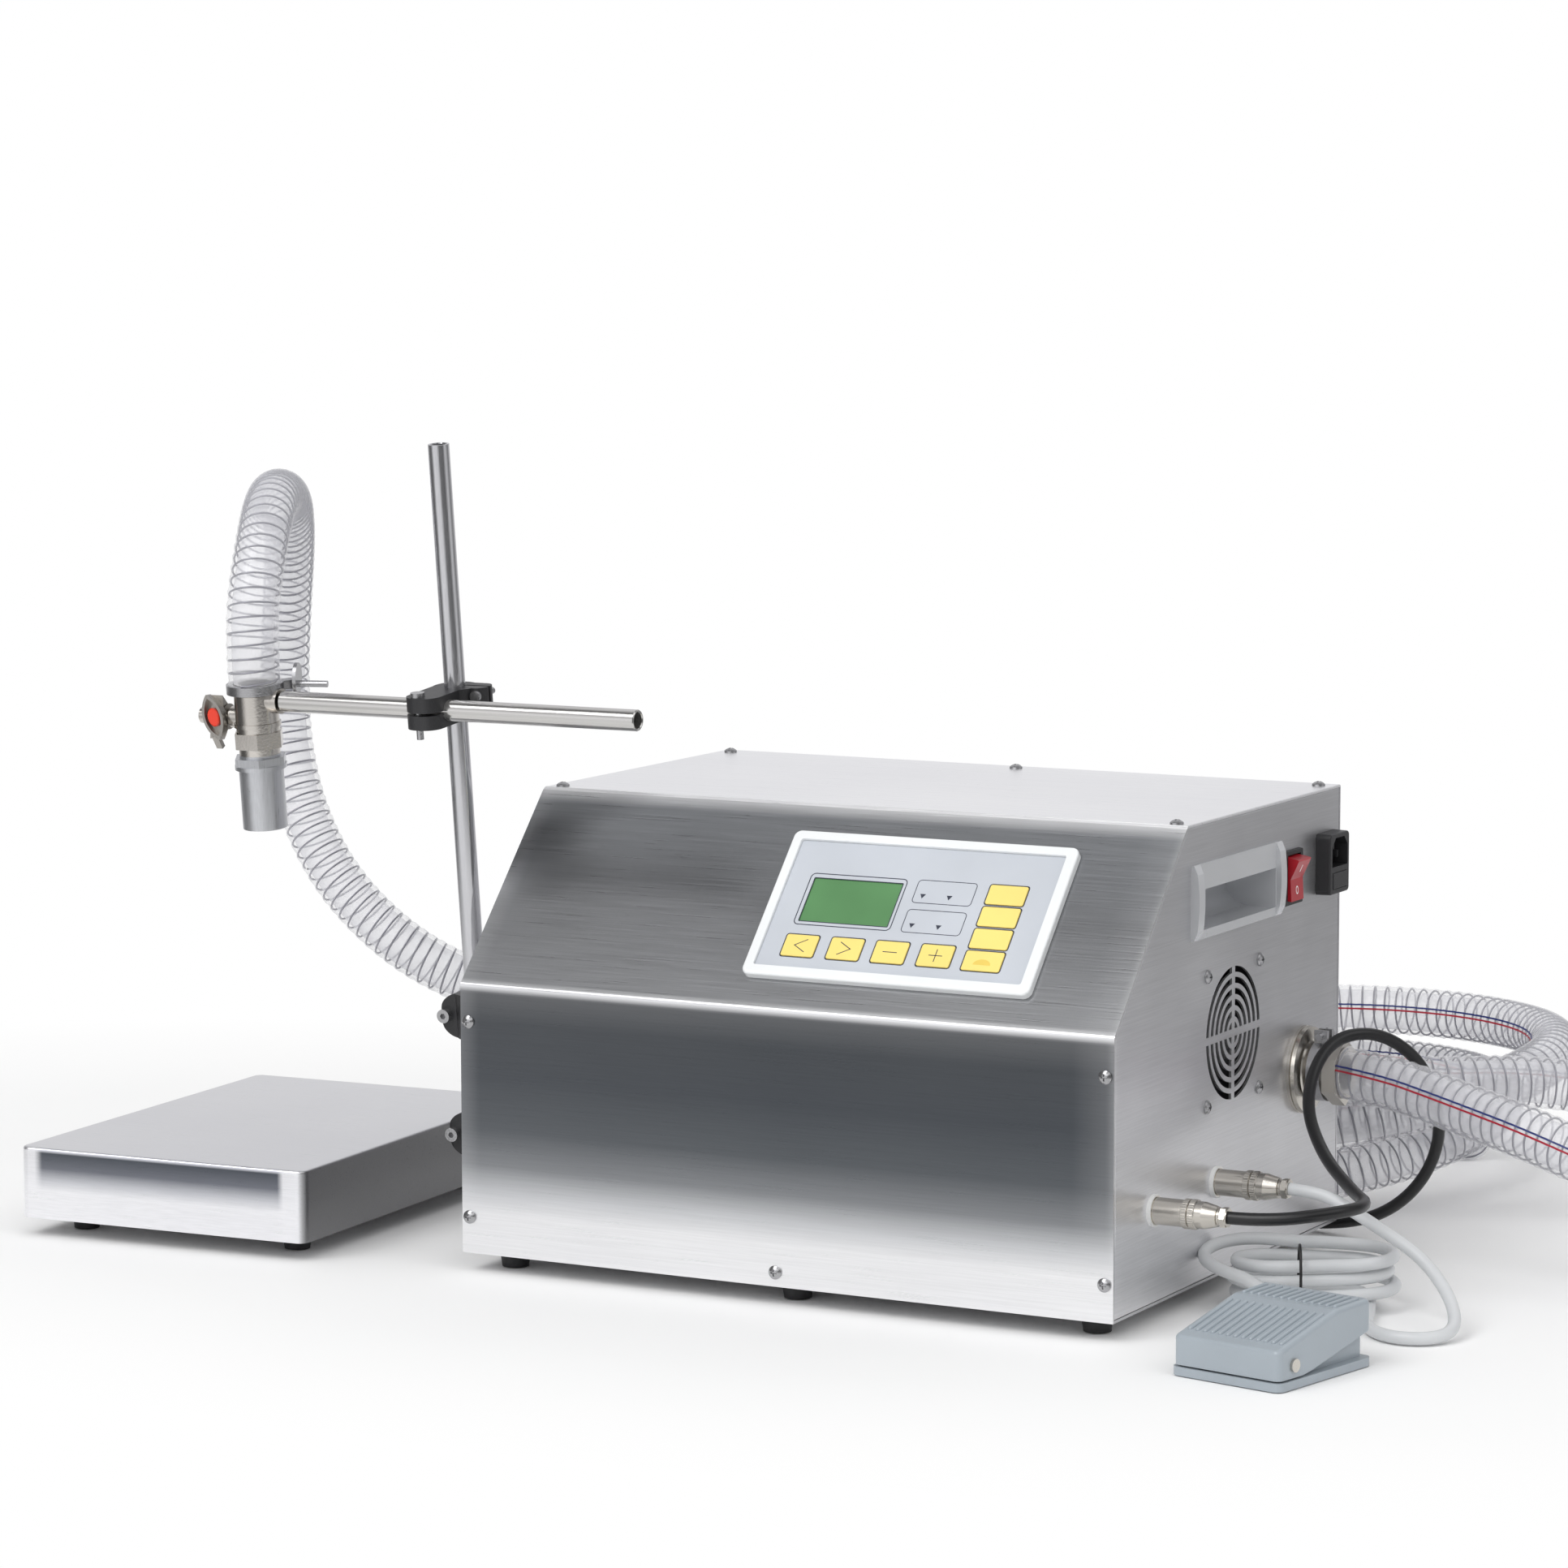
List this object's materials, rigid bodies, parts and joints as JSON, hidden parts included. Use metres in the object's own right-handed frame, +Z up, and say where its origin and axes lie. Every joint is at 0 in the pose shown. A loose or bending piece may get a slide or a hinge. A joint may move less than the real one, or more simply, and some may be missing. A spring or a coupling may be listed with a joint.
{
  "type": "liquid filling machine",
  "caption": "Bench liquid filler: stainless pump cabinet with sloped keypad, rod stand with filling head, weighing platform, foot pedal and spiral hoses.",
  "frame": {"origin": "on the table under the middle of the box around the cabinet, stand, platform and pedal, without the hoses and cables", "axes": "+X to the machine's right seen from its front, +Y to its back, +Z up"},
  "size_m": [1.0081, 0.7096, 0.4618],
  "materials": {
    "stainless": "brushed",
    "polished_steel": "polished",
    "zinc_steel": "satin",
    "aluminium": "satin",
    "cast_handle": "cast",
    "nickel": "satin",
    "clear_hose": "clear, with a steel wire helix",
    "black_cable": "matt",
    "grey_cable": "satin",
    "black_plastic": "matt",
    "rubber": "matt",
    "white_bezel": "gloss",
    "membrane": "satin",
    "dark_window": "gloss",
    "yellow_key": "satin",
    "start_key": "satin",
    "red_plastic": "gloss",
    "circuit_board": "satin",
    "painted_motor": "satin",
    "pedal_grey": "satin"
  },
  "bodies": {
    "housing": {"base_tray": "stainless", "left_side_panel": "stainless", "right_side_panel": "stainless", "front_panel": "stainless", "top_cover": "stainless", "back_panel": "stainless", "screws": "zinc_steel", "rubber_feet": "rubber", "keypad_frame": "white_bezel", "keypad_membrane": "membrane", "display_window": "dark_window", "control_board": "circuit_board", "rocker_bezel": "black_plastic", "power_inlet": "black_plastic", "recessed_handle": "aluminium", "fan_frame": "black_plastic", "hose_fittings": "polished_steel", "hose_clamps": "zinc_steel", "cable_connectors": "nickel", "wall_clamps": "black_plastic", "upright_rod": "polished_steel", "pump_motor": "painted_motor", "pump_head": "black_plastic", "pump_bracket": "zinc_steel", "power_supply": "zinc_steel", "platform_base": "zinc_steel", "load_cell": "aluminium", "pan_spider": "aluminium", "pedal_base": "pedal_grey", "pedal_hinge_pin": "polished_steel", "pedal_switch": "black_plastic", "discharge_hose": "clear_hose", "suction_hose": "clear_hose", "suction_hose_coil": "clear_hose", "black_cable": "black_cable", "grey_cable": "grey_cable", "grey_cable_hank": "grey_cable"},
    "cross_clamp": {"cross_clamp": "black_plastic", "cross_clamp_screws": "zinc_steel"},
    "arm": {"arm_rod": "polished_steel"},
    "filling_head": {"valve_body": "polished_steel", "filling_nozzle": "polished_steel", "nozzle_hose_clamp": "zinc_steel"},
    "valve_key": {"valve_spindle": "polished_steel", "valve_handle": "cast_handle", "handle_cap": "red_plastic"},
    "rocker": {"rocker_paddle": "red_plastic"},
    "fan": {"fan_rotor": "black_plastic"},
    "pump_shaft": {"motor_shaft": "polished_steel"},
    "treadle": {"pedal_treadle": "pedal_grey"},
    "pan": {"weighing_pan": "stainless"},
    "fuse_drawer": {"fuse_drawer": "black_plastic"},
    "key_left": {"key_left": "yellow_key"},
    "key_right": {"key_right": "yellow_key"},
    "key_minus": {"key_minus": "yellow_key"},
    "key_plus": {"key_plus": "yellow_key"},
    "key_mode": {"key_mode": "yellow_key"},
    "key_set": {"key_set": "yellow_key"},
    "key_count": {"key_count": "yellow_key"},
    "key_start": {"key_start": "start_key"}
  },
  "joints": [
    {"name": "head_height", "type": "slide", "parent": "housing", "child": "cross_clamp", "axis": [0, -0.108, 0.9942], "range_m": [-0.03, 0.06], "deforming": ["discharge_hose"]},
    {"name": "arm_reach", "type": "slide", "parent": "cross_clamp", "child": "arm", "axis": [1, 0, 0], "range_m": [-0.03, 0.03], "deforming": ["discharge_hose"]},
    {"name": "nozzle_tilt", "type": "hinge", "parent": "arm", "child": "filling_head", "pos_m": [-0.2632, -0.1091, 0.3133], "axis": [1, 0, 0], "range_deg": [-15, 15], "deforming": ["discharge_hose"]},
    {"name": "valve_turn", "type": "hinge", "parent": "filling_head", "child": "valve_key", "pos_m": [-0.2632, -0.10797, 0.30286], "axis": [1, 0, 0], "range_deg": [0, 90]},
    {"name": "rocker", "type": "hinge", "parent": "housing", "child": "rocker", "pos_m": [0.2797, 0.1138, 0.2185], "axis": [0, 1, 0], "range_deg": [-22, 0]},
    {"name": "fan_spin", "type": "hinge", "parent": "housing", "child": "fan", "pos_m": [0.2652, 0.0343, 0.142], "axis": [1, 0, 0], "continuous": true},
    {"name": "pump_spin", "type": "hinge", "parent": "housing", "child": "pump_shaft", "pos_m": [0.0792, 0.0083, 0.1065], "axis": [0, 1, 0], "continuous": true},
    {"name": "treadle_press", "type": "hinge", "parent": "housing", "child": "treadle", "pos_m": [0.37057, -0.16598, 0.012], "axis": [0.9781, -0.2079, 0], "range_deg": [-3.5, 0], "stiffness_Nm_per_rad": 2},
    {"name": "pan_lift", "type": "slide", "parent": "housing", "child": "pan", "axis": [0, 0, 1], "range_m": [0, 0.05]},
    {"name": "fuse_drawer_slide", "type": "slide", "parent": "housing", "child": "fuse_drawer", "axis": [1, 0, 0], "range_m": [0, 0.014]},
    {"name": "key_left_press", "type": "slide", "parent": "housing", "child": "key_left", "axis": [0, 0.7356, -0.6774], "range_m": [0, 0.0004], "stiffness_N_per_m": 2000},
    {"name": "key_right_press", "type": "slide", "parent": "housing", "child": "key_right", "axis": [0, 0.7356, -0.6774], "range_m": [0, 0.0004], "stiffness_N_per_m": 2000},
    {"name": "key_minus_press", "type": "slide", "parent": "housing", "child": "key_minus", "axis": [0, 0.7356, -0.6774], "range_m": [0, 0.0004], "stiffness_N_per_m": 2000},
    {"name": "key_plus_press", "type": "slide", "parent": "housing", "child": "key_plus", "axis": [0, 0.7356, -0.6774], "range_m": [0, 0.0004], "stiffness_N_per_m": 2000},
    {"name": "key_mode_press", "type": "slide", "parent": "housing", "child": "key_mode", "axis": [0, 0.7356, -0.6774], "range_m": [0, 0.0004], "stiffness_N_per_m": 2000},
    {"name": "key_set_press", "type": "slide", "parent": "housing", "child": "key_set", "axis": [0, 0.7356, -0.6774], "range_m": [0, 0.0004], "stiffness_N_per_m": 2000},
    {"name": "key_count_press", "type": "slide", "parent": "housing", "child": "key_count", "axis": [0, 0.7356, -0.6774], "range_m": [0, 0.0004], "stiffness_N_per_m": 2000},
    {"name": "key_start_press", "type": "slide", "parent": "housing", "child": "key_start", "axis": [0, 0.7356, -0.6774], "range_m": [0, 0.0004], "stiffness_N_per_m": 2000}
  ]
}
